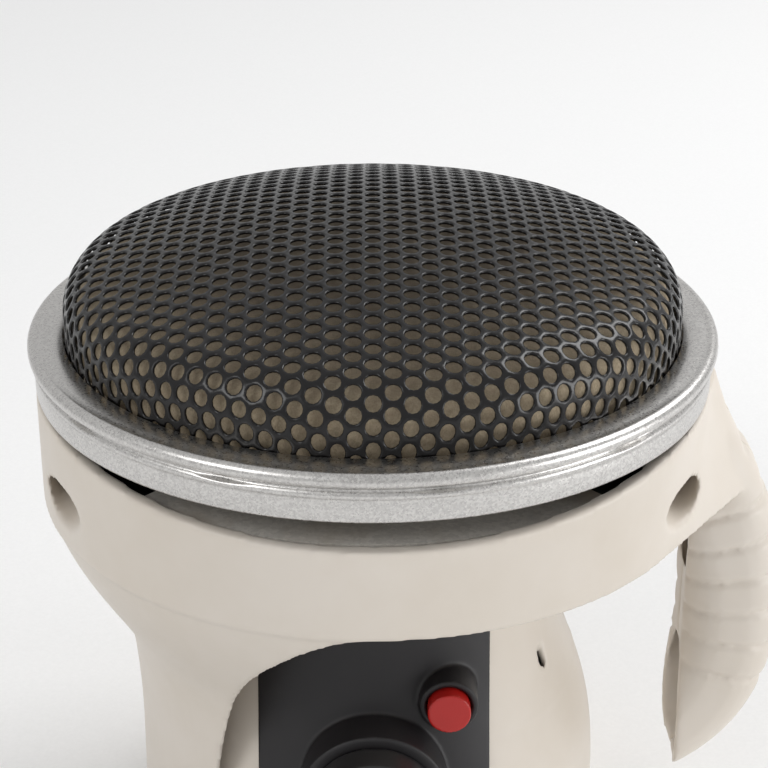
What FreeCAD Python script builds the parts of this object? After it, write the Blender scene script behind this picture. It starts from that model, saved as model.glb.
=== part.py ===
"""Portable catalytic gas heater: a round head in a moulded housing with a carrying handle.

Millimetres.  The origin is the centre of the mouth of the cylinder thread, on the axis that the
head, the barrel and the thread share.  +Z is up, out of the head, +X is towards the handle, and
-Y is the front, where the control panel is.  Heights named "drop" are measured down from the
widest line of the head's rolled ring.
"""
import FreeCAD, Part
import math
import os

os.makedirs("parts", exist_ok=True)

# ---- driving dimensions ---------------------------------------------------------------------
ring_level = 112.0            # height of the ring's widest line above the thread's mouth
ring_radius = 89.0            # outside of the rolled bead
bead_radius = 1.9
ring_sheet = 0.8
skirt_radius = 88.0
skirt_drop = 10.6
ring_lap = 4.7                # width of the flange that the ring's edge holds down

guard_radius = 79.5
guard_rise = 30.5             # top of the guard above the ring level
guard_crown = 236.7           # radius of the shallow crown
guard_shoulder = 11.9         # radius that joins the crown to the wall
guard_sheet = 0.8

pad_gap = 2.4                 # air between guard and catalyst pad
pad_thickness = 6.0
screen_gap = 0.3
screen_sheet = 0.8

pan_wall_radius = guard_radius - 1.3
pan_sheet = 0.8
pan_drop = 15.2
mat_clearance = 0.6
mat_top_drop = 3.1

shield_radius = 82.3
shield_core_radius = 70.0
shield_drop = 19.0
shield_sheet = 1.0
shield_half_angle = 43.0

housing_radius = 87.6
housing_wall = 2.6
rim_drop = 18.4               # top of the housing rim at the front
rim_saddle = 7.4              # how much higher the rim is at the sides
rim_inner_radius = 83.7
rim_depth = 6.0
ring_air = 1.2                # room that the tab leaves round the ring
floor_drop = 42.0             # underside of the bell
sash_drop = 147.0             # end of the back that runs down the barrel, opposite the handle
sash_radius = 65.0

tab_radius = 17.0             # nose of the tab that carries the handle
grip_width = 29.0
grip_pitch = 10.0             # distance between the grip's grooves
groove_depth = 1.2            # round grooves, centred on the surface
first_groove_drop = 50.0
groove_count = 6
rib_radius = 3.0              # shallow grooves across the nose of the tab
rib_depth = 0.8
first_rib_drop = 22.0
rib_count = 3

barrel_radius = 62.0
barrel_neck_radius = 46.0
barrel_wall = 2.5
barrel_drop = 150.0
panel_width = 60.0
panel_sheet = 1.4
panel_top_drop = 58.0
panel_end_drop = 143.0
dial_radius = 19.0
dial_rise = 0.8                # dial face in front of the fullest part of the panel behind it

thread_radius = 12.5          # wall of the cylinder thread
thread_length = 11.0
regulator_radius = 17.0
regulator_height = 20.0
knob_z = 8.0                  # height of the knob's axis above the thread's mouth
knob_radius = 16.5
knob_skirt = 6.5
knob_height = 18.0
stem_radius = 3.0
button_radius = 5.5
button_x = 19.0
button_drop = 82.0
button_travel = 5.0

tube_radius = 8.0
tube_wall = 0.9
access_hole_radius = 5.15
access_hole_drop = 31.0
access_hole_x = 77.0
boss_wall = 2.3
post_circle = guard_radius - 17.5
post_radius = 4.0
screw_radius = 1.5
screw_head_radius = 3.0
screw_head_height = 2.0

seat_gap = 0.15               # between pieces that are screwed together
run_gap = 0.3                 # round a piece that moves
shaft_gap = 0.05              # round a shaft in its bearing

UP = FreeCAD.Vector(0, 0, 1)
BACK = FreeCAD.Vector(0, 1, 0)


def level(drop):
    """Height above the origin of a place that lies this far below the ring's widest line."""
    return ring_level - drop


def vec(x, y, z):
    return FreeCAD.Vector(x, y, z)


def spin(points):
    """Solid of revolution about Z from a closed outline of (radius, height) corners."""
    corners = [vec(r, 0, z) for r, z in points]
    wire = Part.makePolygon(corners + [corners[0]])
    return Part.Face(wire).revolve(vec(0, 0, 0), UP, 360)


def disc(radius, bottom, top, x=0.0, y=0.0):
    return Part.makeCylinder(radius, top - bottom, vec(x, y, bottom), UP)


def rod(radius, front, back, x, z):
    """Round bar along Y from y=front to y=back."""
    return Part.makeCylinder(radius, back - front, vec(x, front, z), BACK)


def ring(outer, inner, bottom, top):
    return disc(outer, bottom, top).cut(disc(inner, bottom - 1, top + 1))


def on_circle(radius, count, first=0.0):
    """Places evenly spaced round a circle."""
    for i in range(count):
        angle = math.radians(first + 360.0 * i / count)
        yield radius * math.cos(angle), radius * math.sin(angle)


def hexagon(across, bottom, top):
    corner = across / math.sqrt(3)
    corners = [vec(corner * math.cos(math.radians(60 * i)), corner * math.sin(math.radians(60 * i)), bottom)
               for i in range(7)]
    return Part.Face(Part.makePolygon(corners)).extrude(vec(0, 0, top - bottom))


def save(name, *solids):
    shape = solids[0] if len(solids) == 1 else Part.makeCompound(list(solids))
    if shape.ShapeType == "Compound" and len(shape.Solids) == 1:
        shape = shape.Solids[0]
    assert shape.isValid(), name
    shape.exportStep("parts/" + name + ".step")
    print(name, len(shape.Solids), round(sum(s.Volume for s in shape.Solids)))


# ---- head ------------------------------------------------------------------------------------
liner_radius = rim_inner_radius - 2.0
liner_wall = 1.5
liner_top_drop = 23.0
floor_hole_radius = barrel_neck_radius - 12.0
top_screw_circle = (floor_hole_radius + barrel_neck_radius - barrel_wall) / 2


def dome(inset, base):
    """Solid under the guard's outer surface moved in by inset, closed at height base."""
    radius = guard_radius - inset
    top = level(-guard_rise) - inset
    crown = guard_crown - inset
    shoulder = guard_shoulder - inset
    crown_z = top - crown
    shoulder_r = radius - shoulder
    shoulder_z = crown_z + math.sqrt((crown - shoulder) ** 2 - shoulder_r ** 2)
    tilt = math.atan2(shoulder_r, shoulder_z - crown_z)
    middle = (tilt + math.pi / 2) / 2
    join = vec(crown * math.sin(tilt), 0, crown_z + crown * math.cos(tilt))
    half = vec(crown * math.sin(tilt / 2), 0, crown_z + crown * math.cos(tilt / 2))
    knee = vec(shoulder_r + shoulder * math.sin(middle), 0, shoulder_z + shoulder * math.cos(middle))
    wall_top = vec(radius, 0, shoulder_z)
    edges = [Part.LineSegment(vec(0, 0, base), vec(radius, 0, base)).toShape(),
             Part.LineSegment(vec(radius, 0, base), wall_top).toShape(),
             Part.Arc(wall_top, knee, join).toShape(),
             Part.Arc(join, half, vec(0, 0, top)).toShape(),
             Part.LineSegment(vec(0, 0, top), vec(0, 0, base)).toShape()]
    return Part.Face(Part.Wire(edges)).revolve(vec(0, 0, 0), UP, 360)


def guard_screen():
    flange_top = level(0) - 0.5 * ring_sheet + seat_gap * 7
    flange_bottom = flange_top - guard_sheet
    shell = dome(0, flange_bottom).cut(dome(guard_sheet, flange_bottom - 1))
    flange = ring(guard_radius + ring_lap, guard_radius - guard_sheet, flange_bottom, flange_top)
    return shell.fuse(flange).removeSplitter(), flange_bottom, flange_top


def retaining_ring(flange_top):
    """Rolled steel ring: flange, bead, second band and skirt, all of one sheet."""
    inner = guard_radius + 0.3
    under = flange_top + seat_gap
    bead_r = ring_radius - bead_radius
    outer = [(inner, under + ring_sheet), (bead_r - bead_radius * 0.4, level(0) + bead_radius * 0.92)]
    for i in range(1, 12):
        angle = math.radians(100 - 17 * i)
        outer.append((bead_r + bead_radius * math.cos(angle), level(0) + bead_radius * math.sin(angle)))
    outer += [(skirt_radius - 0.9, level(2.5)), (skirt_radius, level(3.3)), (skirt_radius, level(4.4)),
              (skirt_radius - 0.5, level(5.0)), (skirt_radius - 0.5, level(skirt_drop))]
    lip = skirt_radius - 0.5 - ring_sheet
    inner_side = [(lip, level(skirt_drop)), (lip, level(2.2)), (lip - 0.8, level(1.0)), (lip - 0.8, under),
                  (inner, under)]
    return spin(outer + inner_side)


def burner_pan(flange_bottom):
    top = flange_bottom - seat_gap
    wall = pan_wall_radius
    pan = spin([(wall + ring_lap + 1, top), (wall - pan_sheet, top), (wall - pan_sheet, level(pan_drop) + pan_sheet),
                (tube_radius + seat_gap, level(pan_drop) + pan_sheet), (tube_radius + seat_gap, level(pan_drop)),
                (wall, level(pan_drop)), (wall, top - pan_sheet), (wall + ring_lap + 1, top - pan_sheet)])
    for x, y in on_circle(post_circle, 4, 45):
        pan = pan.cut(disc(screw_radius + seat_gap, level(pan_drop) - 1, level(pan_drop) + 2, x, y))
    return pan.cut(disc(electrode_sleeve_radius + seat_gap, level(pan_drop) - 1, level(pan_drop) + 2,
                        electrode_x, electrode_y))


def heat_shield():
    bottom = level(shield_drop) - shield_sheet
    top = level(shield_drop)
    reach = 2 * shield_radius
    side = reach * math.tan(math.radians(shield_half_angle))
    plate = disc(shield_core_radius, bottom, top)
    for way in (-1, 1):
        wedge = Part.Face(Part.makePolygon([vec(0, 0, bottom), vec(-side, way * reach, bottom),
                                            vec(side, way * reach, bottom), vec(0, 0, bottom)]))
        plate = plate.fuse(disc(shield_radius, bottom, top).common(wedge.extrude(vec(0, 0, shield_sheet))))
    plate = plate.removeSplitter().cut(disc(tube_radius + 2, bottom - 1, top + 1))
    for x, y in on_circle(post_circle, 4, 45):
        plate = plate.cut(disc(screw_radius + seat_gap, bottom - 1, top + 1, x, y))
    return plate.cut(disc(electrode_sleeve_radius + 1, bottom - 1, top + 1, electrode_x, electrode_y))


def inner_liner():
    """Dark cup inside the housing rim that carries the head on its posts."""
    bottom = level(floor_drop) + housing_wall + seat_gap
    floor_top = bottom + liner_wall
    cup = spin([(floor_hole_radius, bottom), (liner_radius, bottom), (liner_radius, level(liner_top_drop)),
                (liner_radius - liner_wall, level(liner_top_drop)), (liner_radius - liner_wall, floor_top),
                (floor_hole_radius, floor_top)])
    for x, y in on_circle(liner_radius - liner_wall - 0.7, 12, 15):
        cup = cup.fuse(disc(1.0, bottom, level(liner_top_drop), x, y))
    for x, y in on_circle(post_circle, 4, 45):
        cup = cup.cut(disc(screw_radius + seat_gap, bottom - 1, floor_top + 1, x, y))
    for side in (-1, 1):
        cup = cup.cut(rod(access_hole_radius + boss_wall + 0.4, -ring_radius, ring_radius,
                          side * access_hole_x, level(access_hole_drop)))
    return cup.removeSplitter()


electrode_x = 24.0
electrode_y = guard_radius - 27.5
electrode_radius = 0.8
electrode_stand = 0.8         # how far the electrode stands out of the pad
electrode_sleeve_radius = 2.4
lead_radius = 1.25
lead_clearance = 3.2          # the lead bends where it passes the barrel's top

guard, guard_bottom, guard_flange_top = guard_screen()
pad_bottom = level(mat_top_drop) + seat_gap
pad_inset = guard_sheet + pad_gap
screen_inset = pad_inset + pad_thickness + screen_gap
electrode_hole = disc(electrode_radius + 0.6, level(pan_drop), level(-guard_rise) - guard_sheet,
                      electrode_x, electrode_y)
pad = dome(pad_inset, pad_bottom).cut(dome(pad_inset + pad_thickness, pad_bottom - 1)).cut(electrode_hole)
screen = dome(screen_inset, pad_bottom).cut(dome(screen_inset + screen_sheet, pad_bottom - 1)).cut(electrode_hole)
mat = ring(pan_wall_radius - pan_sheet - mat_clearance, tube_radius + 1,
           level(pan_drop) + pan_sheet + screw_head_height + seat_gap, level(mat_top_drop))
mat = mat.cut(disc(electrode_sleeve_radius + 0.4, level(pan_drop), level(0), electrode_x, electrode_y))

save("guard_screen", guard)
save("retaining_ring", retaining_ring(guard_flange_top))
save("catalyst_pad", pad)
save("diffuser_screen", screen)
save("insulation_mat", mat)
save("burner_pan", burner_pan(guard_bottom))
save("heat_shield", heat_shield())
save("inner_liner", inner_liner())

# ---- what carries the head -------------------------------------------------------------------
liner_floor_top = level(floor_drop) + housing_wall + seat_gap + liner_wall
shield_bottom = level(shield_drop) - shield_sheet


def post_parts():
    """Spacers above and below the shield, and the screws through pan, spacers and liner."""
    spacers, posts, screws = [], [], []
    for x, y in on_circle(post_circle, 4, 45):
        hole = disc(screw_radius + seat_gap, level(floor_drop), level(0), x, y)
        spacers.append(disc(post_radius, level(shield_drop), level(pan_drop), x, y).cut(hole))
        posts.append(disc(post_radius, liner_floor_top, shield_bottom, x, y).cut(hole))
        shank = disc(screw_radius, liner_floor_top - liner_wall, level(pan_drop) + pan_sheet, x, y)
        head = disc(screw_head_radius, level(pan_drop) + pan_sheet,
                    level(pan_drop) + pan_sheet + screw_head_height, x, y)
        screws.append(shank.fuse(head).removeSplitter())
    return spacers, posts, screws


spacer_solids, post_solids, post_screws = post_parts()
save("shield_spacers", *spacer_solids)
save("head_posts", *post_solids)
save("head_screws", *post_screws)

# ---- housing ---------------------------------------------------------------------------------
# outside of the bell on the side away from the handle: (radius, drop)
bell_outline = [(housing_radius, 0.0), (housing_radius, 36.0), (housing_radius - 1.7, 44.5),
                (housing_radius - 6.9, 56.5), (housing_radius - 14.0, 68.5), (housing_radius - 20.0, 80.5),
                (sash_radius + 0.8, 92.0), (sash_radius, 106.0), (sash_radius, 125.0), (sash_radius, sash_drop)]
# the tab widens the bell towards the handle: (drop, how far its nose reaches along X)
tab_sections = [(rim_drop - rim_saddle - 2.0, 89.0), (27.0, 95.6), (floor_drop, 103.9)]
# lower edge of the bell seen from the front, from the handle side to the other side: (x, drop)
lower_edge = [(0.0, floor_drop), (-15.0, 47.5), (-28.0, 61.0), (-36.0, 82.0), (-40.5, 108.0),
              (-42.0, sash_drop)]
# middle of the handle, its thickness and the direction it runs in: (x, drop, thickness, degrees)
handle_stations = [(82.5, 29.0, 20.0, -70.0), (91.8, 47.5, 26.5, -73.0), (96.6, 67.0, 28.5, -83.0),
                   (98.0, 84.0, 28.0, -91.0), (96.0, 99.0, 27.0, -104.0), (90.5, 112.0, 25.0, -123.0),
                   (80.0, 122.5, 22.5, -145.0), (67.0, 129.0, 20.5, -162.0), (50.0, 132.0, 20.0, -175.0)]
grip_corner = 0.40            # corner radius as a share of the thinner side


boss_depth = 14.0             # from the parting plane to the screw head's seat
vent_count = 20
vent_length = 20.0
vent_width = 4.0
vent_start = 58.0


def bell_solid(inset, top_drop, bottom_drop):
    """Round part of the bell, moved in by inset."""
    curve = Part.BSplineCurve()
    curve.interpolate([vec(r - inset, 0, level(d)) for r, d in bell_outline[1:]])
    top = vec(housing_radius - inset, 0, level(0))
    start = vec(housing_radius - inset, 0, level(36.0))
    end = vec(sash_radius - inset, 0, level(sash_drop))
    edges = [Part.LineSegment(vec(0, 0, level(0)), top).toShape(),
             Part.LineSegment(top, start).toShape(), curve.toShape(),
             Part.LineSegment(end, vec(0, 0, level(sash_drop))).toShape(),
             Part.LineSegment(vec(0, 0, level(sash_drop)), vec(0, 0, level(0))).toShape()]
    solid = Part.Face(Part.Wire(edges)).revolve(vec(0, 0, 0), UP, 360)
    band = disc(2 * housing_radius, level(bottom_drop), level(top_drop))
    return solid.common(band)


def tab_wire(inset, drop, reach):
    """Bell circle and tab nose joined by their common tangents, at one height."""
    big = housing_radius - inset
    small = tab_radius - inset
    centre = reach - tab_radius
    angle = math.acos(min(0.999, (big - small) / centre))
    z = level(drop)

    def at(x0, radius, turn):
        return vec(x0 + radius * math.cos(turn), radius * math.sin(turn), z)

    return Part.Wire([Part.Arc(at(0, big, angle), at(0, big, math.pi), at(0, big, -angle)).toShape(),
                      Part.LineSegment(at(0, big, -angle), at(centre, small, -angle)).toShape(),
                      Part.Arc(at(centre, small, -angle), at(centre, small, 0), at(centre, small, angle)).toShape(),
                      Part.LineSegment(at(centre, small, angle), at(0, big, angle)).toShape()])


def tab_solid(inset, bottom_lift=0.0):
    wires = [tab_wire(inset, drop, reach) for drop, reach in tab_sections]
    solid = Part.makeLoft(wires, True, False)
    return solid.common(disc(3 * housing_radius, level(floor_drop) + bottom_lift, level(0)))


def handle_wire(x, drop, thickness, heading, inset):
    """Rounded rectangle across the handle's run."""
    half = thickness / 2 - inset
    side = grip_width / 2 - inset
    corner = grip_corner * 2 * min(half, side)
    run = math.radians(heading)
    out = vec(-math.sin(run), 0, math.cos(run))
    middle = vec(x, 0, level(drop))

    def at(u, v):
        return middle + out * u + BACK * v

    k = corner * (1 - math.sqrt(0.5))
    edges = []
    for su, sv in ((1, 1), (-1, 1), (-1, -1), (1, -1)):
        straight_u = at(su * half, sv * (side - corner))
        straight_v = at(su * (half - corner), sv * side)
        bend = at(su * (half - k), sv * (side - k))
        first, last = (straight_u, straight_v) if su * sv > 0 else (straight_v, straight_u)
        edges.append(Part.Arc(first, bend, last).toShape())
    lines = []
    for one, two in zip(edges, edges[1:] + edges[:1]):
        lines.append(Part.LineSegment(one.Vertexes[-1].Point, two.Vertexes[0].Point).toShape())
    loop = [edge for pair in zip(edges, lines) for edge in pair]
    return Part.Wire(loop)


def handle_solid(inset, stations):
    return Part.makeLoft([handle_wire(*station, inset) for station in stations], True, False)


def below_edge():
    """Everything under the bell's lower edge, as a block along Y."""
    curve = Part.BSplineCurve()
    curve.interpolate([vec(x, 0, level(drop)) for x, drop in lower_edge])
    wide = 3 * housing_radius
    first = vec(lower_edge[0][0], 0, level(lower_edge[0][1]))
    last = vec(lower_edge[-1][0], 0, level(lower_edge[-1][1]))
    deep = level(sash_drop) - 60
    corners = [last, vec(last.x, 0, deep), vec(wide, 0, deep), vec(wide, 0, first.z), first]
    edges = [curve.toShape()] + [Part.LineSegment(a, b).toShape() for a, b in zip(corners, corners[1:])]
    face = Part.Face(Part.Wire(edges))
    return face.extrude(vec(0, 2 * wide, 0)).translated(vec(0, -wide, 0))


def above_rim():
    """Everything over the rim, which is lower at the front and back than at the sides."""
    wide = 1.6 * housing_radius
    lift = rim_saddle * (wide / rim_inner_radius) ** 2
    ends = [vec(-wide, 0, level(rim_drop) + lift), vec(wide, 0, level(rim_drop) + lift)]
    # a parabola is a Bezier curve of three poles
    curve = Part.BezierCurve()
    curve.setPoles([ends[0], vec(0, 0, level(rim_drop) - lift), ends[1]])
    high = level(rim_drop) + 3 * lift
    edges = [curve.toShape(), Part.LineSegment(ends[1], vec(wide, 0, high)).toShape(),
             Part.LineSegment(vec(wide, 0, high), vec(-wide, 0, high)).toShape(),
             Part.LineSegment(vec(-wide, 0, high), ends[0]).toShape()]
    face = Part.Face(Part.Wire(edges))
    return face.extrude(vec(0, 2 * wide, 0)).translated(vec(0, -wide, 0))


def barrel_solid(grow, top_drop=0.0, end_drop=0.0):
    """Solid under the barrel's outer surface, grown by grow, between two drops."""
    top_drop = top_drop or floor_drop + seat_gap
    end_drop = end_drop or barrel_drop
    flare = barrel_radius - barrel_neck_radius
    shape = [(0.0, floor_drop), (0.06, 60.0), (0.22, 76.0), (0.42, 88.0), (0.66, 99.0), (0.86, 110.0),
             (0.97, 122.0), (1.0, 135.0), (1.0, barrel_drop)]
    curve = Part.BSplineCurve()
    curve.interpolate([vec(barrel_neck_radius + flare * share + grow, 0, level(drop)) for share, drop in shape])
    top = vec(0, 0, level(floor_drop))
    bottom = vec(0, 0, level(barrel_drop))
    edges = [Part.LineSegment(top, curve.StartPoint).toShape(), curve.toShape(),
             Part.LineSegment(curve.EndPoint, bottom).toShape(), Part.LineSegment(bottom, top).toShape()]
    solid = Part.Face(Part.Wire(edges)).revolve(vec(0, 0, 0), UP, 360)
    return solid.common(disc(2 * barrel_radius, level(end_drop), level(top_drop)))


def grip_grooves():
    """Grooves round the whole grip, each a rounded rectangle of four bars and four corner bends."""
    grooves = []
    for i in range(groove_count):
        x, drop, thickness, heading = grip_at(first_groove_drop + grip_pitch * i)
        half = thickness / 2
        side = grip_width / 2
        corner = grip_corner * 2 * min(half, side)
        flat_u = half - corner
        flat_v = side - corner
        run = math.radians(heading)
        out = vec(-math.sin(run), 0, math.cos(run))
        along = vec(math.cos(run), 0, math.sin(run))
        middle = vec(x, 0, level(drop))
        for su, sv in ((1, 1), (-1, 1), (-1, -1), (1, -1)):
            bend = Part.makeTorus(corner, groove_depth, vec(0, 0, 0), UP, -180, 180, 90)
            first, second = (out * su, BACK * sv) if su * sv > 0 else (BACK * sv, out * su)
            axis = first.cross(second)
            centre = middle + out * (su * flat_u) + BACK * (sv * flat_v)
            turn = FreeCAD.Matrix(first.x, second.x, axis.x, centre.x, first.y, second.y, axis.y, centre.y,
                                  first.z, second.z, axis.z, centre.z, 0, 0, 0, 1)
            bend.Placement = FreeCAD.Placement(turn)
            grooves.append(bend)
        for way in (1, -1):
            grooves.append(Part.makeCylinder(groove_depth, 2 * flat_v, middle + out * (way * half) - BACK * flat_v,
                                             BACK))
            grooves.append(Part.makeCylinder(groove_depth, 2 * flat_u, middle + BACK * (way * side) - out * flat_u,
                                             out))
    return grooves


def grip_at(drop):
    """Middle, thickness and heading of the handle at one height."""
    for one, two in zip(handle_stations, handle_stations[1:]):
        if one[1] <= drop <= two[1]:
            share = (drop - one[1]) / (two[1] - one[1])
            x, _, thickness, heading = (a + share * (b - a) for a, b in zip(one, two))
            return x, drop, thickness, heading
    raise ValueError(drop)


def nose_ribs():
    """Shallow grooves across the nose of the tab, which fade out to both sides."""
    ribs = []
    for i in range(rib_count):
        drop = first_rib_drop + grip_pitch * i
        for one, two in zip(tab_sections, tab_sections[1:]):
            if one[0] <= drop <= two[0]:
                reach = one[1] + (two[1] - one[1]) * (drop - one[0]) / (two[0] - one[0])
                ribs.append(rod(rib_radius, -grip_width, grip_width, reach + rib_radius - rib_depth, level(drop)))
    return ribs


def housing():
    """Bell, tab, handle and tongue, hollow, before it is parted along Y = 0."""
    keep = below_edge()
    outside = bell_solid(0, 0, sash_drop).cut(keep)
    tab = tab_solid(0)
    handle = handle_solid(0, handle_stations)
    handle = handle.cut(grip_grooves())
    inside_bell = bell_solid(housing_wall, 0, sash_drop)
    inside_tab = tab_solid(housing_wall, housing_wall)
    inside_handle = handle_solid(housing_wall, handle_stations[:-1])
    floor = disc(housing_radius - housing_wall / 2, level(floor_drop), level(floor_drop) + housing_wall)
    floor = floor.cut(disc(floor_hole_radius, level(floor_drop) - 1, level(floor_drop) + housing_wall + 1))
    for i in range(vent_count):
        slot = Part.makeBox(vent_length, vent_width, 2 * housing_wall + 2,
                            vec(vent_start, -vent_width / 2, level(floor_drop) - housing_wall))
        slot.rotate(vec(0, 0, 0), UP, 360.0 / vent_count * (i + 0.5))
        floor = floor.cut(slot)
    lip = ring(housing_radius - 0.5, rim_inner_radius, level(rim_drop + rim_depth), level(0))
    shell = outside.fuse(tab).cut(inside_bell).cut(inside_tab)
    shell = shell.fuse(handle.cut(disc(housing_radius - housing_wall, level(sash_drop), level(0))))
    shell = shell.cut(inside_handle)
    shell = shell.fuse(floor.fuse(lip)).cut(above_rim())
    shell = shell.cut(disc(ring_radius + ring_air, level(skirt_drop + 1.0), level(0)))
    for rib in nose_ribs():
        shell = shell.cut(rib)
    for x, y in on_circle(top_screw_circle, 4, 45):
        shell = shell.cut(disc(screw_radius, level(floor_drop) - 1, level(floor_drop) + housing_wall + 1, x, y))
    return shell.cut(barrel_solid(seat_gap, floor_drop, barrel_drop))


def housing_halves():
    whole = housing()
    wide = 4 * housing_radius
    front_block = Part.makeBox(wide, wide, wide, vec(-wide / 2, -wide, level(sash_drop) - wide / 2))
    rear_block = Part.makeBox(wide, wide, wide, vec(-wide / 2, 0, level(sash_drop) - wide / 2))
    front = whole.common(front_block)
    rear = whole.common(rear_block)
    z = level(access_hole_drop)
    inside = disc(housing_radius - housing_wall / 2, level(floor_drop), level(rim_drop + 4.0))
    screws = []
    for side in (-1, 1):
        x = side * access_hole_x
        front = front.fuse(rod(access_hole_radius + boss_wall, -housing_radius, 0, x, z).common(inside))
        rear = rear.fuse(rod(screw_radius + 3.5, 0, housing_radius, x, z).common(inside))
        front = front.cut(rod(access_hole_radius, -housing_radius, -boss_depth, x, z))
        front = front.cut(rod(screw_radius + seat_gap, -boss_depth - 1, 1, x, z))
        rear = rear.cut(rod(screw_radius, -1, boss_depth + seat_gap, x, z))
        shank = rod(screw_radius, -boss_depth, boss_depth, x, z)
        head = rod(screw_head_radius, -boss_depth - screw_head_height, -boss_depth, x, z)
        screws.append(shank.fuse(head).removeSplitter())
    return front.removeSplitter(), rear.removeSplitter(), screws


front_half, rear_half, rim_screws = housing_halves()
save("housing_front", front_half)
save("housing_rear", rear_half)
save("housing_screws", *rim_screws)

# ---- barrel and control panel ----------------------------------------------------------------
button_z = level(button_drop)
air_slots = 7
air_slot_width = 3.0
air_slot_height = 22.0
air_slot_step = 9.0
panel_gap = 0.25              # between the curved panel and the barrel
piezo_face = -38.0            # y of the front of the piezo unit
plate_z = 10.0                # underside of the plate that carries the regulator
plate_sheet = 2.0
ledge_height = 2.5
ledge_width = 8.0
nose_radius = 5.0             # threaded nose of the valve, through barrel and panel
nut_height = 2.6
sleeve_wall = 2.0             # round the button
button_stand = 3.2            # how far the button stands out of its sleeve


def barrel_outer(z):
    """Radius of the barrel's outside at height z."""
    section = barrel_solid(0).slice(UP, z)[0]
    return section.BoundBox.XMax


# y of the dial's face, clear of the panel where the barrel swells under the dial
dial_face = -(max(barrel_outer(knob_z), barrel_outer(knob_z - dial_radius)) + panel_sheet + dial_rise)
sleeve_face = -(barrel_outer(button_z) + panel_sheet + 2.5)


def barrel():
    shell = barrel_solid(0).cut(barrel_solid(-barrel_wall, floor_drop + barrel_wall))
    well = barrel_outer(plate_z)
    ledge = ring(well - barrel_wall / 2, well - barrel_wall - ledge_width,
                 plate_z + plate_sheet + seat_gap, plate_z + plate_sheet + seat_gap + ledge_height)
    shell = shell.fuse(ledge.cut(rod(nose_radius + 4.0, -2 * barrel_radius, 0, 0, knob_z)))
    shell = shell.cut(disc(tube_radius + 1.0, level(floor_drop) - 10, level(floor_drop) + 1))
    shell = shell.cut(disc(lead_radius + lead_clearance, level(floor_drop) - 10, level(floor_drop) + 1, *lead_hole))
    for x, y in on_circle(top_screw_circle, 4, 45):
        shell = shell.cut(disc(screw_radius + seat_gap, level(floor_drop) - 10, level(floor_drop) + 1, x, y))
    for x, y in on_circle(plate_screw_circle, 3, 90):
        shell = shell.cut(disc(screw_radius, plate_z, plate_z + 20, x, y))
    shell = shell.cut(rod(nose_radius + seat_gap, -2 * barrel_radius, 0, 0, knob_z))
    shell = shell.cut(rod(button_radius + sleeve_wall + seat_gap, -2 * barrel_radius, 0, button_x, button_z))
    for i in range(air_slots):
        slot = Part.makeBox(air_slot_width, barrel_radius, air_slot_height,
                            vec(-air_slot_width / 2, barrel_radius / 2, knob_z - air_slot_height / 2))
        slot.rotate(vec(0, 0, 0), UP, air_slot_step * (i - (air_slots - 1) / 2))
        shell = shell.cut(slot)
    return shell.removeSplitter()


plate_screw_circle = barrel_outer(plate_z) - barrel_wall - ledge_width / 2
lead_hole = (button_x, 6.0)


def control_panel():
    """Black curved panel with a raised dial and a sleeve for the button."""
    skin = barrel_solid(panel_sheet, panel_top_drop, panel_end_drop)
    under = barrel_solid(panel_gap, panel_top_drop - 1, panel_end_drop + 1)
    front = Part.makeBox(panel_width, 2 * barrel_radius, barrel_drop,
                         vec(-panel_width / 2, -2 * barrel_radius, level(barrel_drop)))
    plate = skin.common(front)
    dial = rod(dial_radius, dial_face, -barrel_neck_radius, 0, knob_z)
    sleeve = rod(button_radius + sleeve_wall, sleeve_face, -barrel_neck_radius, button_x, button_z)
    plate = plate.fuse(dial).fuse(sleeve).cut(under)
    inner_sleeve = rod(button_radius + sleeve_wall, -barrel_neck_radius, piezo_face, button_x, button_z)
    plate = plate.fuse(inner_sleeve)
    plate = plate.cut(rod(nose_radius + seat_gap, -2 * barrel_radius, 0, 0, knob_z))
    plate = plate.cut(rod(button_radius + run_gap, -2 * barrel_radius, 0, button_x, button_z))
    return plate.removeSplitter()


barrel_shape = barrel()
save("barrel", barrel_shape)
save("control_panel", control_panel())

top_screws = []
for x, y in on_circle(top_screw_circle, 4, 45):
    shank = disc(screw_radius, level(floor_drop) - barrel_wall - seat_gap, level(floor_drop) + housing_wall, x, y)
    head = disc(screw_head_radius, level(floor_drop) - barrel_wall - seat_gap - screw_head_height,
                level(floor_drop) - barrel_wall - seat_gap, x, y)
    top_screws.append(shank.fuse(head).removeSplitter())
save("barrel_screws", *top_screws)

# ---- gas path --------------------------------------------------------------------------------
regulator_top = regulator_height
flange_radius = 24.0
flange_sheet = 3.0
boss_collar = 3.5             # wall of the valve boss round the valve's nose
boss_reach = 5.0              # how far the boss stands out of the body
gasket_radius = 11.0
gasket_bore = 7.0             # inner radius
gasket_thickness = 2.0
gasket_top = thread_length + seat_gap + gasket_thickness
pin_radius = 1.6
pin_room = 1.0                # round the pin
pin_top = gasket_top + 1.0
jet_radius = 4.0
jet_seat = 4.0                # how deep the jet is screwed in
jet_length = 9.0
jet_hexagon = 4.0             # height of the jet's hexagon
jet_bore = 0.4
nut_wall = 3.5
valve_back = -regulator_radius - 1.0
valve_room = 4.0              # round the valve's nose, in the plate and the nut


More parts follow.
